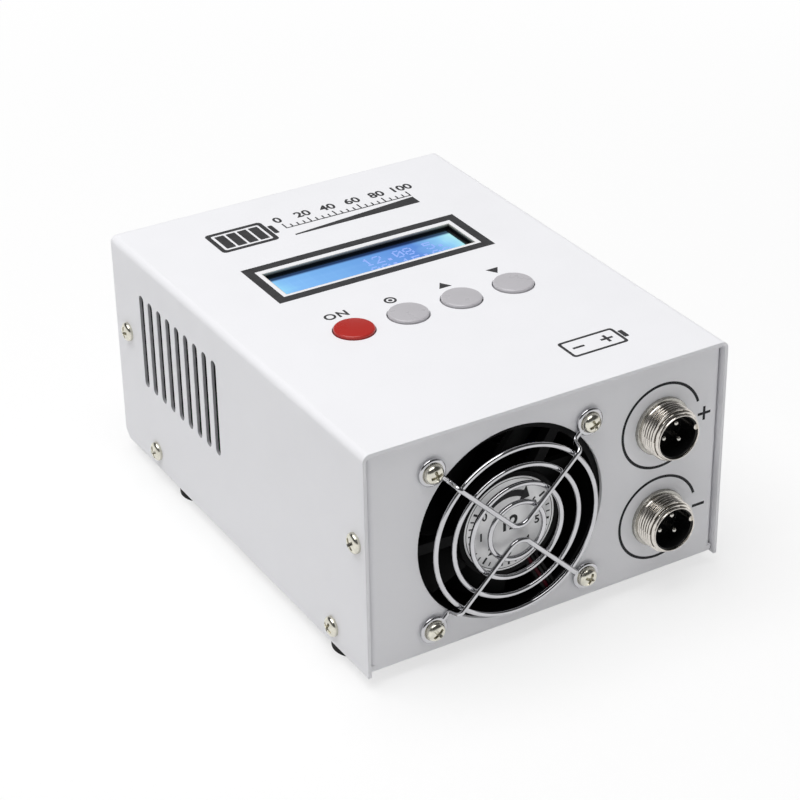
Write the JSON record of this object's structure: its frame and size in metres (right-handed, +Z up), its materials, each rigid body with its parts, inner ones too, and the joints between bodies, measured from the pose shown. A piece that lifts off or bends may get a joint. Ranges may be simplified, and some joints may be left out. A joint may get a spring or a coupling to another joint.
{
  "type": "battery capacity tester",
  "caption": "White sheet metal battery capacity tester with a backlit display, round keys, a guarded cooling fan and two round three-pin sockets.",
  "frame": {"origin": "on the ground plane under the feet, at the middle of the whole object's width and depth", "axes": "+X to the right along the front panel, +Y from the front panel with the fan to the rear panel, +Z up"},
  "size_m": [0.121, 0.1624, 0.0752],
  "materials": {
    "white_paint": "semi-gloss white powder coat",
    "nickel_steel": "bright nickel-plated steel",
    "rubber": "matt black rubber",
    "zinc_steel": "zinc-plated steel",
    "fan_plastic": "black moulded plastic",
    "rotor_plastic": "black moulded plastic, slightly glossier",
    "bronze": "sintered bronze",
    "copper_wire": "enamelled copper wire",
    "silver_label": "bare silver foil disc",
    "white_nylon": "natural nylon",
    "ferrite": "sintered ferrite",
    "shaft_steel": "ground steel",
    "guard_chrome": "chrome-plated wire",
    "shell_nickel": "nickel-plated brass",
    "insert_black": "black moulded insulator",
    "pin_silver": "silver-plated contact",
    "red_pvc": "red wire insulation",
    "black_pvc": "black wire insulation",
    "brass": "bare brass",
    "bezel_black": "black painted steel",
    "display_blue": "blue back-lit display glass, emissive",
    "backlight_white": "white light diffuser",
    "board_green": "green solder mask",
    "part_black": "black moulded plastic",
    "key_red": "red moulded key cap",
    "key_grey": "light grey moulded key cap",
    "stem_plastic": "dark switch stem",
    "sink_aluminium": "extruded aluminium",
    "epoxy_black": "black moulded epoxy",
    "capacitor_sleeve": "dark shrink sleeve",
    "core_yellow": "coated powder core",
    "relay_blue": "blue moulded cover",
    "ribbon_grey": "grey flat cable"
  },
  "bodies": {
    "case": {"chassis": "white_paint", "cover": "white_paint", "cover_screws": "nickel_steel", "rubber_feet": "rubber", "foot_screws": "zinc_steel", "foot_nuts": "zinc_steel", "fan_frame": "fan_plastic", "fan_struts": "fan_plastic", "fan_bearing": "bronze", "fan_stator": "copper_wire", "fan_label": "silver_label", "fan_plug": "white_nylon", "fan_guard": "guard_chrome", "fan_screws": "nickel_steel", "fan_nuts": "zinc_steel", "positive_socket_shell": "shell_nickel", "positive_socket_insert": "insert_black", "positive_socket_pins": "pin_silver", "positive_socket_nut": "nickel_steel", "negative_socket_shell": "shell_nickel", "negative_socket_insert": "insert_black", "negative_socket_pins": "pin_silver", "negative_socket_nut": "nickel_steel", "red_leads": "red_pvc", "black_leads": "black_pvc", "battery_terminals": "brass", "display_bezel": "bezel_black", "display_glass": "display_blue", "display_backlight": "backlight_white", "display_board": "board_green", "display_header": "part_black", "panel_board": "board_green", "panel_studs": "zinc_steel", "stud_nuts": "zinc_steel", "key_switches": "part_black", "main_board": "board_green", "board_standoffs": "brass", "inner_screws": "zinc_steel", "heat_sink": "sink_aluminium", "power_transistors": "epoxy_black", "storage_capacitors": "capacitor_sleeve", "choke_core": "core_yellow", "choke_winding": "copper_wire", "relay": "relay_blue", "controller_chip": "epoxy_black", "power_jack": "part_black", "power_jack_nut": "nickel_steel", "data_port": "nickel_steel", "panel_ribbon": "ribbon_grey"},
    "fan_rotor": {"fan_rotor": "rotor_plastic", "fan_magnet": "ferrite", "fan_shaft": "shaft_steel"},
    "on_key": {"on_button": "key_red", "on_plunger": "stem_plastic"},
    "set_key": {"set_button": "key_grey", "set_plunger": "stem_plastic"},
    "up_key": {"up_button": "key_grey", "up_plunger": "stem_plastic"},
    "down_key": {"down_button": "key_grey", "down_plunger": "stem_plastic"}
  },
  "joints": [
    {"name": "fan_spin", "type": "hinge", "parent": "case", "child": "fan_rotor", "pos_m": [-0.0127, -0.05735, 0.0374], "axis": [0, -1, 0], "continuous": true},
    {"name": "on_press", "type": "slide", "parent": "case", "child": "on_key", "axis": [0, 0, -1], "range_m": [0, 0.00035], "stiffness_N_per_m": 1500},
    {"name": "set_press", "type": "slide", "parent": "case", "child": "set_key", "axis": [0, 0, -1], "range_m": [0, 0.00035], "stiffness_N_per_m": 1500},
    {"name": "up_press", "type": "slide", "parent": "case", "child": "up_key", "axis": [0, 0, -1], "range_m": [0, 0.00035], "stiffness_N_per_m": 1500},
    {"name": "down_press", "type": "slide", "parent": "case", "child": "down_key", "axis": [0, 0, -1], "range_m": [0, 0.00035], "stiffness_N_per_m": 1500}
  ]
}
